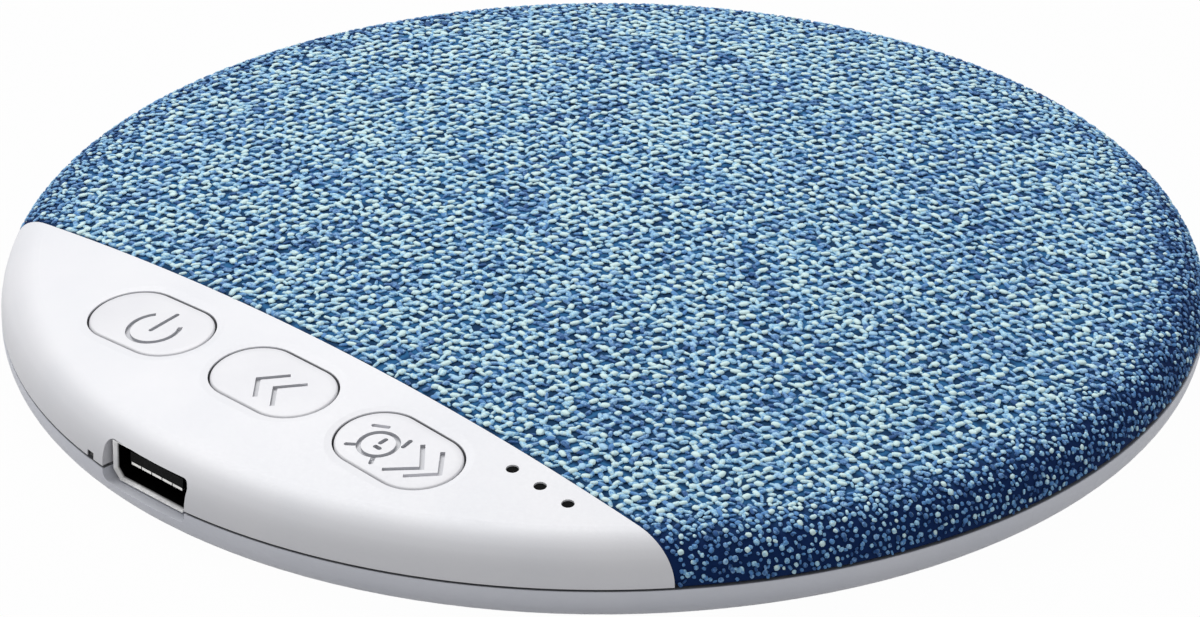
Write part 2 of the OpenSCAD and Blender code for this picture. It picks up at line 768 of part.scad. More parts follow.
// Outline of the charging socket, set in by t: chamfered below, standing on y = 0
module usb_outline(t) {
  half = usb_w / 2 - t;
  cut = usb_chamfer - t * (2 - sqrt(2));
  polygon([
    [-half, usb_h - t], [half, usb_h - t], [half, t + cut],
    [half - cut, t], [cut - half, t], [-half, t + cut]
  ]);
}

// Flare of the socket's mouth: the inside widens towards the front until a thin edge is left
module usb_flare() {
  run = (flare_l + SINK) / flare_l;
  wide = (usb_w - 2 * mouth_t) / (usb_w - 2 * usb_t) - 1;
  high = (usb_h - 2 * mouth_t) / (usb_h - 2 * usb_t) - 1;
  translate([0, usb_front + flare_l, usb_h / 2]) rotate([90, 0, 0])
    linear_extrude(flare_l + SINK, scale = [1 + run * wide, 1 + run * high], slices = 1, $fn = 6)
      translate([0, -usb_h / 2]) usb_outline(usb_t);
}

// Steel shell of the charging socket, with a flared mouth and tabs that lie on the board
module usb_shell() color("silver") translate([-usb_x, 0, usb_z]) {
  difference() {
    along_y(usb_front, usb_front + usb_l) difference() {
      usb_outline(0);
      usb_outline(usb_t);
    }
    usb_flare();
  }
  for (s = SIDES) translate([s * (usb_w + tab_w) / 2, usb_front + usb_l - tab_l / 2, board_top - usb_z])
    block(tab_w + usb_t, tab_l, usb_t);
}

// Insert of the charging socket: a rear block and a tongue
module usb_insert() color("black") translate([-usb_x, 0, usb_z]) {
  along_y(usb_front + usb_l - block_l, usb_front + usb_l) usb_outline(usb_t + insert_gap);
  translate([0, usb_front + tongue_sink + (usb_l - block_l) / 2, usb_h / 2])
    block(tongue_w, usb_l - block_l, tongue_t);
}

// Contacts on the underside of the tongue
module usb_contacts() color("gold") for (k = CONTACTS)
  translate([k * contact_pitch - usb_x, usb_front + usb_l / 2 - block_l / 2 + tongue_sink / 2, usb_z + usb_h / 2 - contact_t])
    block(contact_w, usb_l - block_l - tongue_sink, contact_t);

// Loudspeaker frame: a flat basket with openings in its back
module speaker_frame() color("darkgray") translate([0, driver_y, 0]) difference() {
  rotate_extrude() {
    back_z = yoke_z + frame_lift;
    step_z = front_z - frame_clear;
    translate([frame_inner_r, front_z - frame_flange_t]) square([frame_flange_w, frame_flange_t]);
    translate([frame_inner_r - frame_wall_w, back_z]) square([frame_wall_w, step_z - back_z]);
    translate([frame_inner_r - frame_wall_w, step_z - frame_t]) square([frame_wall_w + SINK, frame_t]);
    translate([yoke_d / 2, back_z]) square([frame_inner_r - yoke_d / 2, frame_t]);
  }
  for (i = [1:frame_windows]) rotate(i * 360 / frame_windows) rotate_extrude(angle = window_angle)
    translate([yoke_d / 2 + frame_wall_w, 0])
      square([frame_inner_r - yoke_d / 2 - 3 * frame_wall_w, yoke_z + frame_lift + frame_t + SINK]);
}

// Yoke: a steel cup for the magnet
module speaker_yoke() color("silver") translate([0, driver_y, yoke_z]) difference() {
  cylinder(d = yoke_d, h = yoke_base + magnet_t + pole_t);
  translate([0, 0, yoke_base]) cylinder(d = yoke_d - 2 * yoke_wall, h = REACH);
}
module speaker_magnet() color("dimgray") translate([0, driver_y, yoke_z + yoke_base])
  cylinder(d = magnet_d, h = magnet_t);
module pole_plate() color("silver") translate([0, driver_y, pole_z]) cylinder(d = pole_d, h = pole_t);
module voice_coil() color("chocolate") translate([0, driver_y, coil_top - coil_l])
  ring(coil_d / 2, coil_d / 2 + coil_wall, coil_l);

// Diaphragm: a flat border, a shallow cone and a dust cap
module diaphragm() color("darkslategray") translate([0, driver_y, 0]) rotate_extrude() {
  foot_r = coil_d / 2 + coil_wall;
  edge = cone_d / 2;
  bend = edge - cone_land_w;
  cap_r = (pow(foot_r, 2) + pow(cap_rise, 2)) / (2 * cap_rise);
  polygon([
    [coil_d / 2, coil_top], [foot_r, coil_top], [bend, cone_edge_z], [edge, cone_edge_z],
    [edge, cone_edge_z + cone_t], [bend, cone_edge_z + cone_t], [foot_r, coil_top + cone_t],
    [coil_d / 2, coil_top + cone_t]
  ]);
  intersection() {
    translate([0, coil_top + cone_t + cap_rise - cap_r]) difference() {
      circle(r = cap_r, $fn = DOME_FN);
      circle(r = cap_r - cone_t, $fn = DOME_FN);
    }
    translate([0, coil_top]) square([foot_r - coil_wall / 2, REACH]);
  }
}

// Surround: a half roll of rubber between two flat borders
module surround() color("black") translate([0, driver_y, front_z]) rotate_extrude() {
  intersection() {
    translate([roll_c, 0]) difference() {
      circle(r = roll_r);
      circle(r = roll_r - surround_t);
    }
    square([driver_r, roll_r]);
  }
  translate([roll_c - roll_r + surround_t - surround_land_w, 0]) square([surround_land_w, surround_t]);
  translate([roll_c + roll_r - surround_t, 0]) square([surround_land_w, surround_t]);
}

// Gasket between the frame and the grille
module speaker_gasket() color("black") translate([0, driver_y, front_z])
  ring(land_out + gasket_gap, driver_r - gasket_gap, gasket_t);

// Terminal plate under the front of the frame
module speaker_terminal() color("peru")
  translate([0, driver_y - driver_r + gasket_gap + terminal_w / 2, front_z - frame_flange_t - terminal_t])
    block(terminal_l, terminal_w, terminal_t);

// Route of one loudspeaker lead: round the left end of the battery to the board
function speaker_route(k) = let (
  side_x = cell_left - lead_side - (1 - k) * lead_pitch,
  channel_y = driver_y - driver_r - lead_run + (0.5 - k) * lead_pitch
) [
  [(k - 0.5) * terminal_l / 2, driver_y - driver_r + gasket_gap, lead_z],
  [(k - 0.5) * terminal_l / 2, channel_y, lead_z],
  [side_x + lead_pitch, channel_y, lead_z],
  [side_x, channel_y - lead_pitch, lead_z],
  [side_x, board_rear - lead_lap, lead_z]
];
module speaker_lead_red() color("red") lead(speaker_route(0));
module speaker_lead_black() color("black") lead(speaker_route(1));

// Battery pouch with a thin sealed end
module battery_cell() color("silver") translate([0, cell_y, cell_z]) {
  along_x(cell_left, cell_right) rounded(cell_w, cell_t, cell_r);
  translate([cell_right + seal_l / 2 - SINK / 2, 0, guard_z - seal_t - cell_z])
    block(seal_l + SINK, cell_w - 2 * cell_r, seal_t);
}
module battery_pad() color("gold") translate([-cell_x, cell_y, floor_t])
  block(cell_l - 2 * pad_margin, cell_w - 2 * pad_margin, pad_t);

// Protection board on the pouch's sealed end
module protection_board() color("darkgreen") translate([cell_right + seal_l - guard_w / 2, cell_y, guard_z])
  block(guard_w, guard_l, guard_t);

// Route of one battery lead: from the protection board to the circuit board
function battery_route(k) = let (
  start_x = cell_right + seal_l,
  start_y = cell_y - (2 - k) * lead_pitch,
  side_x = cell_right + seal_l + lead_side / 2 + k * lead_pitch
) [
  [start_x, start_y, lead_z],
  [side_x, start_y, lead_z],
  [side_x, board_rear - lead_lap, lead_z]
];
module battery_lead_red() color("red") lead(battery_route(0));
module battery_lead_black() color("black") lead(battery_route(1));

bottom_shell();
control_panel();
grille();
fabric_cover();
key_power();
key_back();
key_forward();
plunger_power();
plunger_back();
plunger_forward();
snap_dome_power();
snap_dome_back();
snap_dome_forward();
switch_bodies();
switch_covers();
main_board();
board_screws();
wireless_chip();
amplifier_chip();
inductor();
crystal();
indicator_leds();
light_pipe();
usb_shell();
usb_insert();
usb_contacts();
speaker_frame();
speaker_yoke();
speaker_magnet();
pole_plate();
voice_coil();
diaphragm();
surround();
speaker_gasket();
speaker_terminal();
speaker_lead_red();
speaker_lead_black();
battery_cell();
battery_pad();
protection_board();
battery_lead_red();
battery_lead_black();
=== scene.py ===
"""Flat round pillow speaker: a woven cloth top, a white control panel with three keys, a charging socket."""

import math

import bmesh
import bpy
import numpy as np
from mathutils import Matrix, Vector


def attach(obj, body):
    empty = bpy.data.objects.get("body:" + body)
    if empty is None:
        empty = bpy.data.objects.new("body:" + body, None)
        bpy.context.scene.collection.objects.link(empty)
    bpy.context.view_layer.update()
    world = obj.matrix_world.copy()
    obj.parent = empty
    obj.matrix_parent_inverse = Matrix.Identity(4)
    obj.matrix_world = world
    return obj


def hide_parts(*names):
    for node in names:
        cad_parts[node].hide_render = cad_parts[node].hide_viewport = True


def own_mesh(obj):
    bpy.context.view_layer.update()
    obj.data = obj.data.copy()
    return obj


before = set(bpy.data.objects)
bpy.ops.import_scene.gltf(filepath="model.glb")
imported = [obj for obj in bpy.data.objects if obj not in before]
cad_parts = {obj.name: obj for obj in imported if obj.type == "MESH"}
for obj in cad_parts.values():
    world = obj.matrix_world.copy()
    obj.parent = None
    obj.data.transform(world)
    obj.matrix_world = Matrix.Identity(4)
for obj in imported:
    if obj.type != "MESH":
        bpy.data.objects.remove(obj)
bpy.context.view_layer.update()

MM = 0.001

# Outer surface of the housing, in millimetres, under the names of the part's source
BODY_R = 44.0
EDGE_R = 3.3
RIM_C = BODY_R - EDGE_R
PART_Z = 2.9
RIM_Z = PART_Z + 0.3
DOME_R = 260.0
DOME_FALL = math.asin(RIM_C / (DOME_R - EDGE_R))
DOME_Z = RIM_Z - (DOME_R - EDGE_R) * math.cos(DOME_FALL)
SEAT_Z = PART_Z + 0.1
CLOTH_FRONT = -26.45
PANEL_WALL = 1.3

# Keys
KEY_Y = -32.2
KEY_PITCH = 13.15
KEY_HALF = 1.975
KEY_END_R = 3.4
KEY_GAP = 0.15
KEY_SINK = 0.06
FLANGE_W = 0.5
FLANGE_GAP = 0.1
FLANGE_T = 0.7
KEY_DEPTH = PANEL_WALL + FLANGE_GAP + FLANGE_T
STEM_R = 1.2
STEM_Z = 4.8

# Front of the charging socket
MOUTH_Y = -43.05

# Pry notch in the parting line, with a little room for its shade
PRY_X = -7.05
PRY_Z = PART_Z + 0.3
PRY_HALF_W = 0.42
PRY_HALF_H = 0.32


def fall_at(x, y):
    """Height of the domed top above the base at a place seen from above."""
    return DOME_Z + math.sqrt(DOME_R ** 2 - x ** 2 - y ** 2)


def linear(code):
    """An sRGB hex colour as linear red, green, blue and alpha."""
    parts = [int(code[i:i + 2], 16) / 255 for i in (1, 3, 5)]
    return [c / 12.92 if c <= 0.04045 else ((c + 0.055) / 1.055) ** 2.4 for c in parts] + [1.0]


# Nodes of the finishes
def feed(tree, node, sockets):
    """Set or link a node's sockets."""
    for socket, value in sockets.items():
        if isinstance(value, bpy.types.NodeSocket):
            tree.links.new(value, node.inputs[socket])
        else:
            node.inputs[socket].default_value = value


def add(tree, kind, sockets=None, **settings):
    """Add a node with its settings, and set or link its sockets."""
    made = tree.nodes.new(kind)
    for name, value in settings.items():
        setattr(made, name, value)
    feed(tree, made, sockets or {})
    return made


def calc(tree, operation, *values):
    """A value worked out from numbers and outputs."""
    return add(tree, "ShaderNodeMath", dict(enumerate(values)), operation=operation).outputs[0]


def distance(tree, place, point):
    """Distance of a place from a point."""
    return add(tree, "ShaderNodeVectorMath", {0: place, 1: point}, operation="DISTANCE").outputs["Value"]


def fade(tree, value, start, end):
    """0 up to a start and 1 from an end, in the value's unit."""
    span = {"Value": value, "From Min": start, "From Max": end}
    return add(tree, "ShaderNodeMapRange", span).outputs[0]


def blend(tree, share, one, other):
    """A colour between two others."""
    return add(tree, "ShaderNodeMix", {0: share, 6: one, 7: other}, data_type="RGBA").outputs[2]


def noise(tree, place, size, detail, rough):
    """A cloudy value with features of this many millimetres."""
    settings = {"Vector": place, "Scale": 1 / (size * MM), "Detail": detail, "Roughness": rough}
    return add(tree, "ShaderNodeTexNoise", settings).outputs[0]


def toned(tree, value, stops):
    """A colour from a ramp with these (place, hex) stops."""
    ramp = add(tree, "ShaderNodeValToRGB", {"Fac": value})
    elements = ramp.color_ramp.elements
    while len(elements) < len(stops):
        elements.new(1.0)
    for element, (place, code) in zip(elements, stops):
        element.position = place
        element.color = linear(code)
    return ramp.outputs[0]


def bumped(tree, height, strength, depth):
    """A normal that follows a relief of this many millimetres."""
    settings = {"Height": height, "Strength": strength, "Distance": depth * MM}
    return add(tree, "ShaderNodeBump", settings).outputs[0]


def new_finish(name):
    """An empty material with its shader joined to the output."""
    finish = bpy.data.materials.new(name)
    finish.use_nodes = True
    tree = finish.node_tree
    tree.nodes.clear()
    shader = add(tree, "ShaderNodeBsdfPrincipled")
    add(tree, "ShaderNodeOutputMaterial", {"Surface": shader.outputs[0]})
    return finish, tree, shader


# Shade in the recesses, in millimetres: where it begins and where it is full, below the dome and behind the
# edge's face, how far the crowned top reaches, and half the height of the parting line
GROOVE_FADE = (0.13, 0.22)
EDGE_FADE = (0.05, 0.14)
CROWN_R = 40.4
PARTING_HALF = 0.13
# Share of the full shade round the keys and in the parting line
GROOVE_SHADE = 0.8
PARTING_SHADE = 0.72
# Painted shade in the socket's shell starts this far behind its mouth, over this length
MOUTH_CLEAR = 0.2
MOUTH_FADE = 0.15


def recessed(tree, place):
    """A mask for painted shade: 1 in the pry notch, less round the keys and in the parting line."""
    flat = add(tree, "ShaderNodeVectorMath", {0: place, 1: (1, 1, 0)}, operation="MULTIPLY").outputs[0]
    radius = add(tree, "ShaderNodeVectorMath", {0: flat}, operation="LENGTH").outputs["Value"]
    crown = distance(tree, place, (0, 0, DOME_Z * MM))
    groove = fade(tree, crown, (DOME_R - GROOVE_FADE[0]) * MM, (DOME_R - GROOVE_FADE[1]) * MM)
    on_top = calc(tree, "LESS_THAN", radius, CROWN_R * MM)
    groove = calc(tree, "MULTIPLY", calc(tree, "MULTIPLY", groove, on_top), GROOVE_SHADE)
    apart = add(tree, "ShaderNodeSeparateXYZ", {0: place}).outputs
    parting = calc(tree, "COMPARE", apart["Z"], PART_Z * MM, PARTING_HALF * MM)
    parting = calc(tree, "MULTIPLY", parting, PARTING_SHADE)
    pry_x = calc(tree, "COMPARE", apart["X"], PRY_X * MM, PRY_HALF_W * MM)
    pry_z = calc(tree, "COMPARE", apart["Z"], PRY_Z * MM, PRY_HALF_H * MM)
    dark = calc(tree, "MAXIMUM", parting, calc(tree, "MULTIPLY", pry_x, pry_z))
    behind = fade(tree, radius, (BODY_R - EDGE_FADE[0]) * MM, (BODY_R - EDGE_FADE[1]) * MM)
    return calc(tree, "MAXIMUM", groove, calc(tree, "MULTIPLY", dark, behind))


def moulded(name, low, high, cloud, grain, depth, rough, metal=0.0, ior=1.5, squash=(1, 1, 1), shade=None,
            engraved=False, deep=None):
    """A grained finish: two close tones in clouds, a fine relief, and roughness that follows the relief.

    The clouds, the grain and its depth are in millimetres. A painted shade lies in the recesses of the
    housing, or only on engraved faces, or only behind a place along y.
    """
    finish, tree, shader = new_finish(name)
    place = add(tree, "ShaderNodeTexCoord").outputs["Object"]
    turned = add(tree, "ShaderNodeMapping", {"Vector": place, "Scale": squash}).outputs[0]
    colour = toned(tree, noise(tree, turned, cloud, 3.0, 0.5), [(0.3, low), (0.7, high)])
    relief = noise(tree, turned, grain, 2.0, 0.6)
    gloss = add(tree, "ShaderNodeMapRange", {"Value": relief, "From Min": 0.3, "From Max": 0.7,
                                             "To Min": rough[0], "To Max": rough[1]}).outputs[0]
    if shade:
        if engraved:
            painted_shade = add(tree, "ShaderNodeAttribute", attribute_name="engraved").outputs["Fac"]
        elif deep:
            back = add(tree, "ShaderNodeSeparateXYZ", {0: place}).outputs["Y"]
            painted_shade = fade(tree, back, deep * MM, (deep + MOUTH_FADE) * MM)
        else:
            painted_shade = recessed(tree, place)
        colour = blend(tree, painted_shade, colour, linear(shade))
    feed(tree, shader, {
        "Base Color": colour,
        "Roughness": gloss,
        "Normal": bumped(tree, relief, 0.5, depth),
        "Metallic": metal,
        "IOR": ior,
    })
    return finish


# The cloth's UV map spans this many millimetres of flat cloth, with the crown in its middle
UV_SPAN = 100
# Millimetres of cloth to a radian of the ground's wave, which lays its lines 2.1 mm apart
GROUND_RADIAN = 0.34
# The cloth changes over a band round the rim, this far to each side of the dome's end
RIM_BAND = 2.5
# Bundles of filaments in the yarn dive and rise at this distance
FILAMENT = 0.2


def woven_ground():
    """The ground of the cover: a plain weave of navy polyester, with paler lines where its threads cross."""
    finish, tree, shader = new_finish("navy_plain_weave")
    flat = add(tree, "ShaderNodeUVMap", uv_map="flat_cloth").outputs[0]
    # At a scale of 1, the texture has 20 radians to a unit
    lines = {"Vector": flat, "Scale": UV_SPAN / GROUND_RADIAN / 20, "Distortion": 3.0, "Detail": 2.0,
             "Detail Scale": 1.5}
    warp = add(tree, "ShaderNodeTexWave", lines, bands_direction="X").outputs["Fac"]
    weft = add(tree, "ShaderNodeTexWave", lines, bands_direction="Y").outputs["Fac"]
    cross = calc(tree, "MAXIMUM", warp, weft)
    colour = toned(tree, cross, [(0.5, "#103A60"), (0.8, "#1A4C78"), (1.0, "#2E6A9C")])
    # Stretched over the rim, the weave lets more of the dark below show
    run = distance(tree, flat, (0.5, 0.5, 0))
    rim = fade(tree, run, (RIM_C - RIM_BAND) / UV_SPAN, (RIM_C + RIM_BAND) / UV_SPAN)
    feed(tree, shader, {
        "Base Color": blend(tree, rim, colour, linear("#0B2A5C")),
        "Normal": bumped(tree, cross, 0.8, 0.08),
        "Roughness": 0.9,
        "Specular IOR Level": 0.2,
    })
    return finish


def float_yarn(name, stops):
    """Crimped polyester yarn: the tone changes from float to float, filaments catch the light along them."""
    finish, tree, shader = new_finish(name)
    place = add(tree, "ShaderNodeTexCoord").outputs["Object"]
    tone = add(tree, "ShaderNodeAttribute", attribute_name="tone").outputs["Fac"]
    fibre = noise(tree, place, FILAMENT, 2.0, 0.6)
    swing = calc(tree, "MULTIPLY_ADD", fibre, 2.0, -1.0)
    feed(tree, shader, {
        "Base Color": toned(tree, calc(tree, "ADD", tone, swing), stops),
        "Normal": bumped(tree, fibre, 0.5, 0.04),
        "Roughness": 0.75,
        "Specular IOR Level": 0.3,
        "Sheen Weight": 0.35,
        "Sheen Roughness": 0.4,
        "Sheen Tint": linear("#C8F0FF"),
    })
    return finish


# Meshes and objects
def meshed(bm, name):
    """Turn a bmesh into a mesh."""
    mesh = bpy.data.meshes.new(name)
    bm.to_mesh(mesh)
    bm.free()
    return mesh


def placed(name, data):
    """A new object in the scene."""
    made = bpy.data.objects.new(name, data)
    bpy.context.scene.collection.objects.link(made)
    return made


def verts_in(geom):
    """The vertices among what an operator made."""
    return [g for g in geom if isinstance(g, bmesh.types.BMVert)]


def keep(bm, name, finish, body, nodes, smooth=40):
    """Turn a bmesh into a piece that rides on a body and stands for CAD nodes."""
    mesh = meshed(bm, name)
    mesh.materials.append(finish)
    piece = placed(name, mesh)
    if smooth:
        mesh.shade_smooth()
        mesh.set_sharp_from_angle(angle=math.radians(smooth))
    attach(piece, body)
    if nodes:
        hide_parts(*nodes)
    return piece


# Camera of the photograph: a long lens, 28 degrees above the base, 47 degrees round to the right
AZ = math.radians(46.61)
EL = math.radians(27.78)
ROLL = math.radians(-0.13)
SENSOR_W = 36
FOCAL = 286.687
DISTANCE = 0.7
# It looks at a place this far above the base and this far to the left of the middle, in millimetres
AIM_UP = 1.81
AIM_LEFT = 0.25
across = Vector((math.cos(AZ), math.sin(AZ), 0))
away = Vector((math.sin(AZ) * math.cos(EL), -math.cos(AZ) * math.cos(EL), math.sin(EL)))
upward = away.cross(across)
rolled = math.cos(ROLL) * across + math.sin(ROLL) * upward
lens = bpy.data.cameras.new("photo_lens")
lens.sensor_fit = "HORIZONTAL"
lens.sensor_width = SENSOR_W
lens.lens = FOCAL
camera = placed("photo_camera", lens)
aim = Vector((0, 0, AIM_UP * MM)) - AIM_LEFT * MM * across
camera.matrix_world = (Matrix.Translation(aim + DISTANCE * away)
                       @ Matrix((rolled, away.cross(rolled), away)).transposed().to_4x4())
bpy.context.scene.camera = camera

# Finishes
# Moulded ABS, satin from a finely blasted mould: a cool white with hardly any cloud, soft highlights
# Painted shade darkens the openings in the top, the parting line and the pry notch
panel_abs = moulded("satin_moulded_abs", "#EDEEF3", "#F3F3F7", 9, 0.25, 0.006, (0.38, 0.5), ior=1.53,
                    shade="#17181A")
# The same ABS in the lower shell, from a slightly coarser mould
# Painted shade darkens its parting line and the pry notch as well
shell_abs = moulded("blasted_moulded_abs", "#E6E9F2", "#EDEFF7", 9, 0.3, 0.01, (0.42, 0.56), ior=1.53,
                    shade="#17181A")
# Key caps in the same ABS, a little glossier from handling, with painted shade on the engraved faces
key_abs = moulded("polished_key_abs", "#E7E7EC", "#EDEDF1", 6, 0.25, 0.004, (0.32, 0.42), ior=1.53,
                  shade="#C4C5CA", engraved=True)
# Filled polypropylene: dark, dry, with a grain of the filler
grille_pp = moulded("filled_polypropylene", "#2B2D31", "#383B40", 3, 0.4, 0.03, (0.5, 0.7), ior=1.49)
ground_weave = woven_ground()
# Undyed yarn: a pale ice blue, nearly white on top
pale_yarn = float_yarn("ice_blue_polyester_float", [(0.0, "#5C93D0"), (0.5, "#AADDFC"), (1.0, "#E2FEFF")])
# Dyed yarn of the heather
blue_yarn = float_yarn("dyed_polyester_float", [(0.0, "#2C5894"), (0.5, "#6E9ED6"), (1.0, "#B4E0FF")])
# Liquid crystal polymer: matt black with a faint flow pattern
black_lcp = moulded("moulded_black_polymer", "#08090A", "#101113", 1.5, 0.1, 0.01, (0.5, 0.7), ior=1.2,
                    squash=(1, 0.3, 1))
# Stainless spring strip: drawn lines along the strip
spring = moulded("rolled_spring_steel", "#B9BBBE", "#CFD1D4", 0.8, 0.12, 0.004, (0.2, 0.34), 1.0,
                 squash=(0.2, 1, 1))
# Solder mask over copper: green with paler areas where copper lies below
mask = moulded("green_solder_mask", "#0D4A2C", "#176B3D", 0.7, 0.2, 0.008, (0.25, 0.4))
# Sintered ferrite: charcoal, with a dry ground face
ferrite = moulded("sintered_ferrite", "#35373A", "#45484C", 0.8, 0.15, 0.02, (0.5, 0.75), ior=1.9)
# Lamp bodies: milky resin over a yellow phosphor
lamp = moulded("milky_lamp_resin", "#F0EAD0", "#F7F3E4", 0.4, 0.1, 0.004, (0.2, 0.3))
# Smoked polycarbonate of the light pipe: nearly black while unlit
smoked = moulded("smoked_polycarbonate", "#060607", "#0A0B0C", 0.6, 0.15, 0.003, (0.5, 0.65), ior=1.1)
# Tin over the socket's contacts: white metal, soft from plating
tin = moulded("tin_plated_contact", "#E6E5E2", "#F2F1EE", 0.3, 0.08, 0.002, (0.3, 0.42), 1.0)
# Glass-filled nylon of the loudspeaker's basket
basket = moulded("glass_filled_nylon", "#3B3D40", "#4A4D51", 1.2, 0.25, 0.02, (0.45, 0.65), ior=1.53,
                 squash=(1, 0.4, 1))
# Nickel over drawn steel: bright, with fine drawing lines along the shell
nickel = moulded("nickel_plated_steel", "#BFC0C2", "#D5D6D8", 0.9, 0.1, 0.003, (0.2, 0.32), 1.0,
                 squash=(1, 0.15, 1))
# The socket's shell has a dull white nickel from the barrel, with painted shade inside it behind the mouth
bright_nickel = moulded("barrel_plated_nickel", "#F0F0F1", "#FAFAFA", 0.9, 0.1, 0.003, (0.45, 0.6), 1.0,
                        squash=(1, 0.15, 1), shade="#141416", deep=MOUTH_Y + MOUTH_CLEAR)
# Enamelled copper winding: turns of fine wire lying round the former
copper = moulded("enamelled_copper", "#8E4A22", "#B9682F", 0.5, 0.12, 0.02, (0.25, 0.4), 1.0,
                 squash=(0.1, 0.1, 1))
# Pressed polyester film of the diaphragm
film = moulded("pressed_polyester_film", "#1C1E21", "#2A2D31", 1.5, 0.2, 0.008, (0.3, 0.45), ior=1.57)
# Butyl rubber roll: dull black
rubber = moulded("butyl_rubber", "#101112", "#191A1C", 1.0, 0.2, 0.01, (0.55, 0.75), ior=1.52)
# Open foam: dark cells a fifth of a millimetre across
foam = moulded("open_cell_foam", "#18191B", "#303236", 0.25, 0.2, 0.08, (0.8, 0.95), ior=1.4)
# Paper laminate of the terminal strip
laminate = moulded("paper_laminate", "#8A5A2C", "#A46E3A", 0.6, 0.15, 0.01, (0.4, 0.6), squash=(1, 0.3, 1))
# PVC insulation of the leads
red_pvc = moulded("red_lead_pvc", "#A3191B", "#BC2623", 0.8, 0.15, 0.006, (0.3, 0.42), ior=1.53)
black_pvc = moulded("black_lead_pvc", "#141416", "#1F2022", 0.8, 0.15, 0.006, (0.3, 0.42), ior=1.53)
# Aluminium laminate of the cell's pouch: bright, softly crumpled
foil = moulded("aluminium_pouch_foil", "#B7B9BC", "#CDCFD2", 2.5, 0.9, 0.06, (0.25, 0.4), 1.0)

FINISHES = {
    "bottom_shell": shell_abs,
    "control_panel": panel_abs,
    "grille": grille_pp,
    "plunger_power": black_lcp,
    "plunger_back": black_lcp,
    "plunger_forward": black_lcp,
    "switch_bodies": black_lcp,
    "switch_covers": spring,
    "main_board": mask,
    "board_screws": nickel,
    "wireless_chip": black_lcp,
    "amplifier_chip": black_lcp,
    "inductor": ferrite,
    "crystal": nickel,
    "indicator_leds": lamp,
    "light_pipe": smoked,
    "usb_shell": bright_nickel,
    "usb_insert": black_lcp,
    "usb_contacts": tin,
    "speaker_frame": basket,
    "speaker_yoke": nickel,
    "speaker_magnet": ferrite,
    "pole_plate": nickel,
    "voice_coil": copper,
    "diaphragm": film,
    "surround": rubber,
    "speaker_gasket": foam,
    "speaker_terminal": laminate,
    "speaker_lead_red": red_pvc,
    "speaker_lead_black": black_pvc,
    "battery_cell": foil,
    "battery_pad": foam,
    "protection_board": mask,
    "battery_lead_red": red_pvc,
    "battery_lead_black": black_pvc,
}
for node, finish in FINISHES.items():
    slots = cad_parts[node].data.materials
    slots.clear()
    slots.append(finish)

# Cloth cover, in millimetres
# The weave's threads cross every 1.05 mm along the seam and every 0.9 mm across it, both a little skew
THREAD_X = 1.05
THREAD_Y = 0.9
LEAN = 0.15
TILT = 0.05
# Distances along the cloth from the crown to the dome's end, round the rim and down to the hem
RUN_DOME = DOME_R * DOME_FALL
RUN_RIM = RUN_DOME + EDGE_R * (math.pi / 2 - DOME_FALL)
RUN_HEM = RUN_RIM + RIM_Z - SEAT_Z
# The ground lies this far inside the cover's face, the threads stand this far proud of it
GROUND = -0.16
TOP = 0.05
# Mesh size of the ground, and the spare cloth that is taken off again at the hem and at the seam
GRID = 0.5
SPARE_HEM = 0.6
SPARE_SEAM = 1.2
# The ground's edge goes back and down at the seam, and in under the rim by a scale
TUCK_BACK = 0.05
TUCK_DOWN = 0.9
HEM_IN = 0.975
# Vertices nearer than this are one, or lie on the seam
MERGE = 0.01
# Keeps the crown from a division by zero
TINY = 0.001


def cover_face(run):
    """Radius, height and slope of the cover at a distance along the cloth from the crown."""
    dome = np.clip(run / DOME_R, 0, DOME_FALL)
    rim = DOME_FALL + np.clip((run - RUN_DOME) / EDGE_R, 0, math.pi / 2 - DOME_FALL)
    on_dome = run <= RUN_DOME
    slope = np.where(on_dome, dome, rim)
    radius = np.where(on_dome, DOME_R * np.sin(dome), RIM_C + EDGE_R * np.sin(rim))
    height = np.where(on_dome, DOME_Z + DOME_R * np.cos(dome), RIM_Z + EDGE_R * np.cos(rim))
    return radius, height - np.clip(run - RUN_RIM, 0, None), slope


def laid(u, v, stand):
    """Places over the speaker for places on the flat cloth, lifted off the cover's face."""
    run = np.maximum(np.hypot(u, v), TINY)
    radius, height, slope = cover_face(run)
    reach = (radius + stand * np.sin(slope)) / run
    return np.stack((u * reach, v * reach, height + stand * np.cos(slope)), axis=-1)


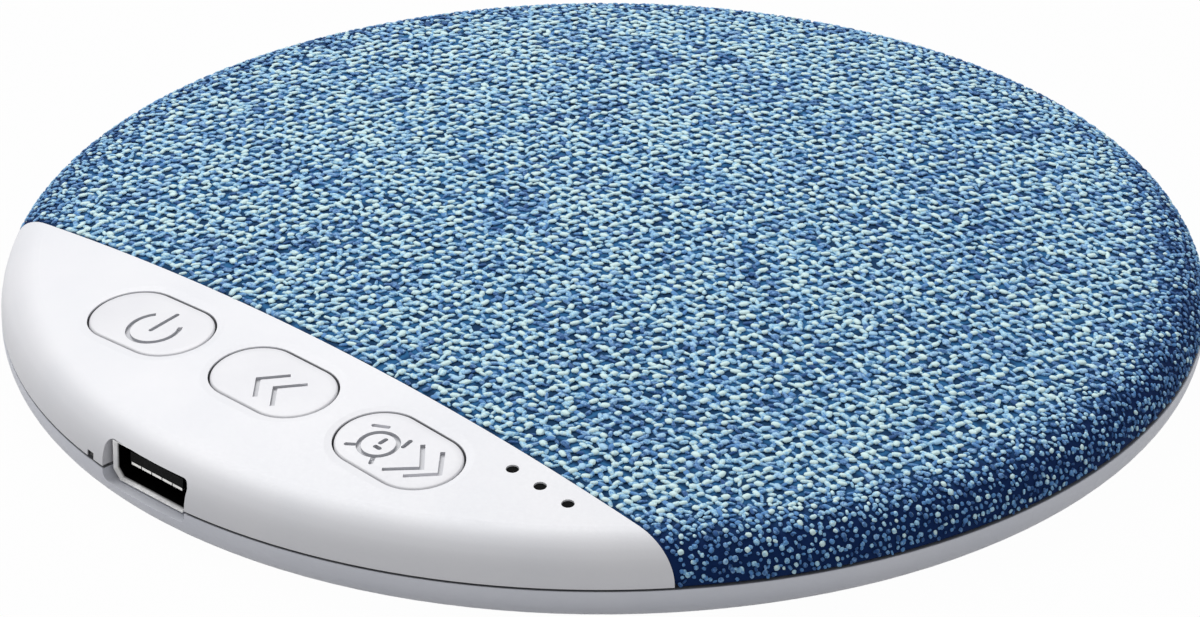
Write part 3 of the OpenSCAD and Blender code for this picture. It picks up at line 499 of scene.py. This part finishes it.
def cloth_ground():
    """The cover's ground: a flat sheet laid over the dome, round the rim and tucked in at the seam."""
    half_l = RUN_HEM + SPARE_HEM
    front = CLOTH_FRONT - SPARE_SEAM
    depth = half_l - front
    bm = bmesh.new()
    bmesh.ops.create_grid(
        bm, x_segments=round(2 * half_l / GRID), y_segments=round(depth / GRID), size=0.5,
        matrix=Matrix.Translation((0, (half_l + front) / 2, 0)) @ Matrix.Diagonal((2 * half_l, depth, 1, 1)))
    far = [f for f in bm.faces if min(v.co.length for v in f.verts) > RUN_HEM]
    bmesh.ops.delete(bm, geom=far, context="FACES")
    mesh = meshed(bm, "cloth_ground")
    flat = np.empty(3 * len(mesh.vertices))
    mesh.vertices.foreach_get("co", flat)
    flat = flat.reshape(-1, 3)
    pull = np.minimum(1, RUN_HEM / np.maximum(np.hypot(flat[:, 0], flat[:, 1]), TINY))
    u = flat[:, 0] * pull
    v = flat[:, 1] * pull
    mesh.vertices.foreach_set("co", (laid(u, v, GROUND) * MM).ravel())
    corners = np.empty(len(mesh.loops), dtype=int)
    mesh.loops.foreach_get("vertex_index", corners)
    sheet_uv = np.stack((u[corners], v[corners]), axis=1) / UV_SPAN + 0.5
    mesh.uv_layers.new(name="flat_cloth").data.foreach_set("uv", sheet_uv.ravel())
    bm = bmesh.new()
    bm.from_mesh(mesh)
    bpy.data.meshes.remove(mesh)
    bmesh.ops.bisect_plane(bm, geom=bm.verts[:] + bm.edges[:] + bm.faces[:],
                           plane_co=(0, CLOTH_FRONT * MM, 0), plane_no=(0, -1, 0), clear_outer=True)
    bmesh.ops.remove_doubles(bm, verts=bm.verts[:], dist=MERGE * MM)
    # Turned down at the seam and turned in under the rim
    rim = [e for e in bm.edges if e.is_boundary]
    tuck = [e for e in rim if max(v.co.y for v in e.verts) < (CLOTH_FRONT + MERGE) * MM]
    hem = [e for e in rim if e not in set(tuck)]
    grown = bmesh.ops.extrude_edge_only(bm, edges=tuck)["geom"]
    bmesh.ops.translate(bm, verts=verts_in(grown), vec=(0, TUCK_BACK * MM, -TUCK_DOWN * MM))
    grown = bmesh.ops.extrude_edge_only(bm, edges=hem)["geom"]
    bmesh.ops.scale(bm, verts=verts_in(grown), vec=(HEM_IN, HEM_IN, 1.0))
    piece = keep(bm, "cloth_ground", ground_weave, "housing", ["fabric_cover"], smooth=0)
    piece.data.shade_smooth()
    return piece


# Threads of the weave: half lengths, half widths, how much shorter they are round the rim, their mean tone
YARNS = {
    "float": {"seed": 83, "long": (0.28, 0.44), "wide": (0.24, 0.36), "shrink": 0.45, "pale": 0.95},
    "weft": {"seed": 59, "long": (0.34, 0.56), "wide": (0.13, 0.28), "shrink": 0.6, "pale": 0.38},
    "warp": {"seed": 67, "long": (0.3, 0.5), "wide": (0.13, 0.28), "shrink": 0.6, "pale": 0.38},
    "knot": {"seed": 71, "long": (0.18, 0.3), "wide": (0.15, 0.25), "shrink": 0.3, "pale": 0.8,
             "rim_only": True},
}
# Threads laid out to each side of the middle
REACH = 60
# How far the threads stray, how far all of them lie back from the seam, their half height, rise and twist
STRAY = 0.11
BACK = 0.17
HIGH = (0.08, 0.12)
RISE = (0.03, 0.08)
TWIST = math.radians(24)
TONE_SPREAD = 0.3
# Heather dye: threads and runs to each side of the middle in its table, the length of a run, how rare dye is
# in weft and warp, its spread from stretch to stretch, and what it does to the tone
DYE_SEED = 41
DYE_THREADS = 100
DYE_RUNS = 60
DYE_RUN = 4.5
WEFT_UNDYED = 0.7
WARP_UNDYED = 1.1
DYE_SPREAD = 0.5
DYE_MIDDLE = -0.5
DYE_TONE = 0.11
# Round the rim: more dye, darker tones, thinner threads, and knots from this share of the band on
RIM_DYE = 0.5
RIM_TONE = 0.6
RIM_THIN = 0.3
RIM_KNOTS = 0.2
# Cloth without threads at the hem and at the seam
CLEAR_HEM = 0.1
CLEAR_SEAM = 0.24
# Power by which a thread is fuller towards its ends than a ball
FULLNESS = 0.2


def slubs(dice, thread, along, length):
    """How far a thread is dyed at a place along it: smooth runs, different in every thread."""
    knots = dice.normal(0, 1, (2 * DYE_THREADS, 2 * DYE_RUNS))
    step = along / length + DYE_RUNS
    low = np.clip(np.floor(step).astype(int), 0, 2 * DYE_RUNS - 2)
    part = step - low
    part = part * part * (3 - 2 * part)
    before = knots[thread + DYE_THREADS, low]
    after = knots[thread + DYE_THREADS, low + 1]
    return before * (1 - part) + after * part


def weave_sites(weft, starts_high, column, row, seed, long, wide, shrink, pale, rim_only=False):
    """Stretches of thread on the flat cloth: their places, sizes and turns, their tones and their dye."""
    dice = np.random.default_rng(seed)
    count = len(column)
    lean = np.where(weft, math.atan2(TILT, THREAD_X), math.atan2(THREAD_Y, LEAN))
    sites = {
        "u": column * THREAD_X + row * LEAN + dice.normal(0, STRAY, count),
        "v": row * THREAD_Y + column * TILT + BACK + dice.normal(0, STRAY, count),
        "long": dice.uniform(*long, count),
        "wide": dice.uniform(*wide, count),
        "high": dice.uniform(*HIGH, count),
        "rise": dice.uniform(*RISE, count) * starts_high,
        "turn": lean + dice.normal(0, TWIST, count),
        "tone": dice.normal(pale, TONE_SPREAD, count),
    }
    thread = np.where(weft, np.floor(row), np.floor(column)).astype(int)
    along = np.where(weft, sites["u"], sites["v"])
    dye = slubs(np.random.default_rng(DYE_SEED), thread, along, DYE_RUN)
    dye = dye - np.where(weft, WEFT_UNDYED, WARP_UNDYED)
    # Drawn over the rim, the cloth opens: its threads show as short dots, and fewer of them are undyed
    run = np.hypot(sites["u"], sites["v"])
    rim = np.clip((run - RUN_DOME + RIM_BAND) / (2 * RIM_BAND), 0, 1)
    sites["dyed"] = dye + RIM_DYE * rim + dice.normal(0, DYE_SPREAD, count) > 0
    sites["tone"] = sites["tone"] - DYE_TONE * np.clip(dye - DYE_MIDDLE, -1, 1) - RIM_TONE * rim
    sites["long"] = sites["long"] * (1 - shrink * rim)
    sites["wide"] = sites["wide"] * (1 - RIM_THIN * rim)
    spot = laid(sites["u"], sites["v"], 0)
    on = (run < RUN_HEM - CLEAR_HEM) & (spot[:, 1] > CLOTH_FRONT + CLEAR_SEAM)
    if rim_only:
        on = on & (rim > RIM_KNOTS)
    return {name: values[on] for name, values in sites.items()}


def plain_weave():
    """Floats over the crossings, weft and warp between them, and the knots that show at the rim."""
    steps = np.arange(-REACH, REACH + 1)
    column, row = [a.ravel() for a in np.meshgrid(steps, steps, indexing="ij")]
    weft_on_top = (column + row) % 2 == 0
    # A thread that lies on top at a crossing dives under the next thread, and the other way round
    dives = np.where(weft_on_top, -1, 1)
    always = np.ones(len(column), dtype=bool)
    flat = np.zeros(len(column))
    return {
        "float": weave_sites(weft_on_top, flat, column, row, **YARNS["float"]),
        "weft": weave_sites(always, dives, column + 0.5, row, **YARNS["weft"]),
        "warp": weave_sites(~always, -dives, column, row + 0.5, **YARNS["warp"]),
        "knot": weave_sites(always, flat, column + 0.5, row + 0.5, **YARNS["knot"]),
    }


def cloth_threads(name, sites, finish):
    """Round-ended stretches of thread on the ground, each sloped, turned and sized by its site."""
    bead = bmesh.new()
    bmesh.ops.create_uvsphere(bead, u_segments=5, v_segments=4, radius=1,
                              matrix=Matrix.Rotation(math.radians(90), 4, "Y"))
    shape = meshed(bead, "float")
    points = np.array([v.co for v in shape.vertices])
    ends = np.clip(points[:, :1] ** 2, 0, 0.99)
    points[:, 1:] *= (1 - ends) ** -FULLNESS
    count = len(sites["u"])
    bm = bmesh.new()
    for _ in range(count):
        bm.from_mesh(shape)
    piece = keep(bm, name, finish, "housing", [], smooth=0)
    bpy.data.meshes.remove(shape)
    bearing = np.arctan2(sites["v"], sites["u"])
    slope = cover_face(np.hypot(sites["u"], sites["v"]))[2]
    out = np.stack((np.cos(bearing), np.sin(bearing), np.zeros(count)), axis=1)
    rise = np.array([[0.0, 0.0, 1.0]])
    down = out * np.cos(slope)[:, None] - rise * np.sin(slope)[:, None]
    face = out * np.sin(slope)[:, None] + rise * np.cos(slope)[:, None]
    side = np.cross(rise, out)
    turn = (sites["turn"] - bearing)[:, None]
    along = (np.cos(turn) * down + np.sin(turn) * side) * sites["long"][:, None]
    aside = (np.cos(turn) * side - np.sin(turn) * down) * sites["wide"][:, None]
    axes = np.stack((along + face * sites["rise"][:, None], aside, face * sites["high"][:, None]), axis=1)
    centre = laid(sites["u"], sites["v"], TOP - sites["high"] - np.abs(sites["rise"]))
    spread = centre[:, None, :] + np.einsum("ki,nij->nkj", points, axes)
    piece.data.vertices.foreach_set("co", (spread * MM).ravel())
    tone = np.repeat(sites["tone"], len(points))
    piece.data.attributes.new("tone", "FLOAT", "POINT").data.foreach_set("value", tone)
    piece.data.shade_smooth()
    piece.data.update()
    return piece


ground = cloth_ground()
for kind, sites in plain_weave().items():
    for shade, which, finish in (("pale", ~sites["dyed"], pale_yarn), ("dyed", sites["dyed"], blue_yarn)):
        chosen = {name: values[which] for name, values in sites.items()}
        cloth_threads(f"cloth_{shade}_{kind}", chosen, finish)

# Keys, in millimetres
# Width and depth of an engraved stroke, height of the solids that cut it, degrees in a step of an arc
STROKE = 0.36
ENGRAVED = 0.22
CUTTER = 1.0
ARC_STEP = 6
# Each stroke's floor lies this much deeper than the last one's
FLOOR_STEP = 0.013
# A face is engraved this far below a key's top and this far inside its edge
MARK_DEPTH = 0.04
MARK_MARGIN = 0.5
# Round edge of a cap, rings of faces on its top, stem inside the flange, angle of a sharp edge
CAP_EDGE = 0.17
CAP_RINGS = (0.5, 0.8, 0.9)
STEM_IN = 0.1
CAP_SHARP = math.radians(35)


def oblong(bm, half, radius, steps=24):
    """An outline with two round ends, as one face."""
    made = bmesh.ops.create_circle(bm, cap_ends=True, radius=radius, segments=4 * steps,
                                   matrix=Matrix.Rotation(math.pi / (4 * steps), 4, "Z"))
    for vert in made["verts"]:
        vert.co.x += math.copysign(half, vert.co.x)
    return made["verts"][0].link_faces[0]


def raised(bm, face, height):
    """Draw a face out into a wall, and give back the face at its end."""
    grown = bmesh.ops.extrude_face_region(bm, geom=[face])["geom"]
    bmesh.ops.translate(bm, verts=verts_in(grown), vec=(0, 0, height))
    return next(g for g in grown if isinstance(g, bmesh.types.BMFace))


def stroke(parts, start, end):
    """A straight engraved stroke with round ends, as a solid to cut with."""
    line = Vector(end) - Vector(start)
    part = bmesh.new()
    raised(part, oblong(part, line.length / 2, STROKE / 2, 4), CUTTER)
    bmesh.ops.recalc_face_normals(part, faces=part.faces[:])
    middle = (Vector(start) + Vector(end)) / 2
    part.transform(Matrix.Translation((middle.x, middle.y, -KEY_SINK - ENGRAVED))
                   @ Matrix.Rotation(math.atan2(line.y, line.x), 4, "Z"))
    parts.append(part)


def bow(parts, centre, radius, start, sweep):
    """An engraved arc or ring, as a solid to cut with."""
    part = bmesh.new()
    half = STROKE / 2
    corners = [part.verts.new((radius + x, 0, z))
               for x, z in ((-half, 0), (half, 0), (half, CUTTER), (-half, CUTTER))]
    section = [part.edges.new((corners[i - 1], corners[i])) for i in range(4)]
    bmesh.ops.spin(part, geom=corners + section, cent=(0, 0, 0), axis=(0, 0, 1), angle=math.radians(sweep),
                   steps=round(sweep / ARC_STEP), use_merge=(sweep == 360))
    bmesh.ops.remove_doubles(part, verts=part.verts[:], dist=0.001)
    bmesh.ops.holes_fill(part, edges=[e for e in part.edges if e.is_boundary], sides=4)
    bmesh.ops.recalc_face_normals(part, faces=part.faces[:])
    part.transform(Matrix.Translation((centre[0], centre[1], -KEY_SINK - ENGRAVED))
                   @ Matrix.Rotation(math.radians(start), 4, "Z"))
    parts.append(part)


def chevron(parts, tip, reach, half):
    """An engraved angle bracket with its tip to one side, as one solid to cut with."""
    part = bmesh.new()
    lean = math.atan2(half, abs(reach))
    ahead = STROKE / 2 / math.sin(lean)
    over = Vector((math.sin(lean), math.cos(lean))) * STROKE / 2
    end = Vector((abs(reach), half))
    outer = end + Vector((-over.x, over.y))
    inner = end + Vector((over.x, -over.y))
    outline = [Vector((-ahead, 0)), outer, inner, Vector((ahead, 0))]
    outline += [Vector((p.x, -p.y)) for p in (inner, outer)]
    flip = math.copysign(1, reach)
    face = part.faces.new([part.verts.new((tip[0] + flip * p.x, tip[1] + p.y, 0)) for p in outline])
    raised(part, face, CUTTER)
    bmesh.ops.recalc_face_normals(part, faces=part.faces[:])
    bmesh.ops.translate(part, verts=part.verts[:], vec=(0, 0, -KEY_SINK - ENGRAVED))
    parts.append(part)


def power_sign(parts):
    """A broken ring with a bar through the break."""
    bow(parts, (-12.45, -32.6), 1.92, 135, 263)
    stroke(parts, (-12.45, -30.4), (-12.45, -32.9))


def back_sign(parts):
    """Two angle brackets that point to the left."""
    chevron(parts, (-1.16, -32.64), 1.56, 1.7)
    chevron(parts, (0.67, -32.66), 1.56, 1.7)


def forward_sign(parts):
    """A small alarm clock and two angle brackets that point to the right."""
    chevron(parts, (15.96, -32.6), -2.0, 1.95)
    chevron(parts, (17.4, -32.2), -1.75, 1.9)
    bow(parts, (11.57, -32.7), 1.42, 0, 360)
    stroke(parts, (9.63, -31.36), (10.58, -30.86))
    stroke(parts, (13.0, -30.97), (13.13, -31.74))
    stroke(parts, (10.31, -33.8), (9.82, -34.15))
    stroke(parts, (12.5, -34.05), (12.8, -34.55))
    stroke(parts, (11.57, -32.0), (11.57, -32.5))
    stroke(parts, (11.6, -33.0), (12.0, -33.0))


def onto_dome(bm):
    """Let a shape drawn on a flat top follow the dome, and bring it to metres."""
    for vert in bm.verts:
        vert.co.z += fall_at(vert.co.x, vert.co.y)
    bmesh.ops.scale(bm, verts=bm.verts[:], vec=(MM, MM, MM))
    bmesh.ops.triangulate(bm, faces=bm.faces[:])


def cap_shape(x):
    """A key without its sign: a flange, an oblong cap with a soft edge, and a stem."""
    bm = bmesh.new()
    seat = raised(bm, oblong(bm, KEY_HALF, KEY_END_R + FLANGE_W), FLANGE_T)
    bmesh.ops.inset_region(bm, faces=[seat], thickness=FLANGE_W + KEY_GAP)
    face = raised(bm, seat, PANEL_WALL + FLANGE_GAP - KEY_SINK)
    # The face that the cap was drawn from would stay inside the key
    bmesh.ops.delete(bm, geom=[seat], context="FACES_ONLY")
    bmesh.ops.bevel(bm, geom=list(face.edges), offset=CAP_EDGE, offset_type="OFFSET", segments=3,
                    profile=0.5, affect="EDGES", material=-1)
    top = max(bm.faces, key=lambda f: f.calc_center_median().z)
    for width in CAP_RINGS:
        bmesh.ops.inset_region(bm, faces=[top], thickness=width)
    bmesh.ops.recalc_face_normals(bm, faces=bm.faces[:])
    bmesh.ops.translate(bm, verts=bm.verts[:], vec=(x, KEY_Y, -KEY_DEPTH))
    onto_dome(bm)
    under = (fall_at(x, KEY_Y) - KEY_DEPTH + STEM_IN) * MM
    bmesh.ops.create_cone(bm, cap_ends=True, segments=32, radius1=STEM_R * MM, radius2=STEM_R * MM,
                          depth=under - STEM_Z * MM,
                          matrix=Matrix.Translation((x * MM, KEY_Y * MM, (under + STEM_Z * MM) / 2)))
    return bm


def engrave(piece, parts):
    """Cut the strokes of a sign out of a key, and give back its new mesh."""
    cutters = []
    for i, part in enumerate(parts):
        # Strokes that cross end at depths of their own, so that no two floors lie in one plane
        bmesh.ops.translate(part, verts=part.verts[:], vec=(0, 0, -FLOOR_STEP * i))
        onto_dome(part)
        cutters.append(placed("stroke", meshed(part, "stroke")))
        cut = piece.modifiers.new("engraved_stroke", "BOOLEAN")
        cut.object = cutters[i]
        cut.solver = "EXACT"
    shaped = bpy.data.meshes.new_from_object(piece.evaluated_get(bpy.context.evaluated_depsgraph_get()))
    piece.modifiers.clear()
    plain = piece.data
    piece.data = shaped
    bpy.data.meshes.remove(plain)
    for cutter in cutters:
        mesh = cutter.data
        bpy.data.objects.remove(cutter)
        bpy.data.meshes.remove(mesh)
    return shaped


def engraved_at(spot, x):
    """1 for a place inside the top of the key at x, 0 on its top, its edge and below."""
    depth = fall_at(spot.x, spot.y) - spot.z
    off_axis = math.hypot(max(abs(spot.x - x) - KEY_HALF, 0), spot.y - KEY_Y)
    return float(KEY_SINK + MARK_DEPTH < depth < CUTTER and off_axis < KEY_END_R - MARK_MARGIN)


def key_cap(name, x, sign, body):
    """A key with its engraved sign, whose engraved faces are marked for painted shade."""
    piece = keep(cap_shape(x), name + "_cap", key_abs, body, [name])
    parts = []
    sign(parts)
    shaped = engrave(piece, parts)
    shaped.name = name + "_cap"
    shaped.set_sharp_from_angle(angle=CAP_SHARP)
    marks = [engraved_at(Vector(face.center) / MM, x) for face in shaped.polygons]
    shaped.attributes.new("engraved", "FLOAT", "FACE").data.foreach_set("value", marks)


key_cap("key_power", -KEY_PITCH, power_sign, "power_key")
key_cap("key_back", 0, back_sign, "back_key")
key_cap("key_forward", KEY_PITCH, forward_sign, "forward_key")

# Snap domes under the plungers, each a piece with a mesh of its own
for key in ("power", "back", "forward"):
    bm = bmesh.new()
    bm.from_mesh(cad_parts[f"snap_dome_{key}"].data)
    leaf = keep(bm, f"snap_leaf_{key}", spring, "housing", [f"snap_dome_{key}"])
    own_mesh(leaf)

# Floor and light
# Half the table's side in metres, its gap below the base in millimetres, the plain white in its looks
TABLE_HALF = 3
TABLE_GAP = 0.02
TABLE_WHITE = 0.98
STUDIO_LIGHT = 0.46


def pale_floor():
    """A table that shows white to the camera, with a trace of the speaker's shadow."""
    finish, tree, shader = new_finish("white_table_laminate")
    feed(tree, shader, {"Base Color": linear("#B4B4B6"), "Roughness": 0.8})
    rays = add(tree, "ShaderNodeLightPath").outputs
    seen = calc(tree, "MAXIMUM", rays["Is Camera Ray"], rays["Is Glossy Ray"])
    seen = calc(tree, "MAXIMUM", seen, rays["Is Transmission Ray"])
    share = calc(tree, "MULTIPLY", seen, TABLE_WHITE)
    glow = add(tree, "ShaderNodeEmission", {"Color": linear("#FFFFFF"), "Strength": 1.0}).outputs[0]
    both = add(tree, "ShaderNodeMixShader", {0: share, 1: shader.outputs[0], 2: glow}).outputs[0]
    # From below there is no table, so that the underside can be seen
    below = add(tree, "ShaderNodeNewGeometry").outputs["Backfacing"]
    clear = add(tree, "ShaderNodeBsdfTransparent").outputs[0]
    both = add(tree, "ShaderNodeMixShader", {0: below, 1: both, 2: clear}).outputs[0]
    feed(tree, tree.nodes["Material Output"], {"Surface": both})
    bm = bmesh.new()
    bmesh.ops.create_grid(bm, x_segments=1, y_segments=1, size=TABLE_HALF,
                          matrix=Matrix.Translation((0, 0, -TABLE_GAP * MM)))
    mesh = meshed(bm, "table")
    mesh.materials.append(finish)
    table = placed("table", mesh)


def softbox(name, place, width, power):
    """A square soft lamp turned to the speaker."""
    light = bpy.data.lights.new(name, "AREA")
    light.size = width
    light.energy = power
    box = placed(name, light)
    box.matrix_world = Matrix.Translation(place) @ Vector(place).to_track_quat("Z", "Y").to_matrix().to_4x4()


pale_floor()
softbox("overhead_softbox", place=(-0.57, 0.17, 0.85), width=0.8, power=7.8)
world = bpy.data.worlds.new("studio")
world.use_nodes = True
feed(world.node_tree, world.node_tree.nodes["Background"],
     {"Color": linear("#FFFFFF"), "Strength": STUDIO_LIGHT})
bpy.context.scene.world = world
bpy.context.scene.view_settings.view_transform = "Standard"
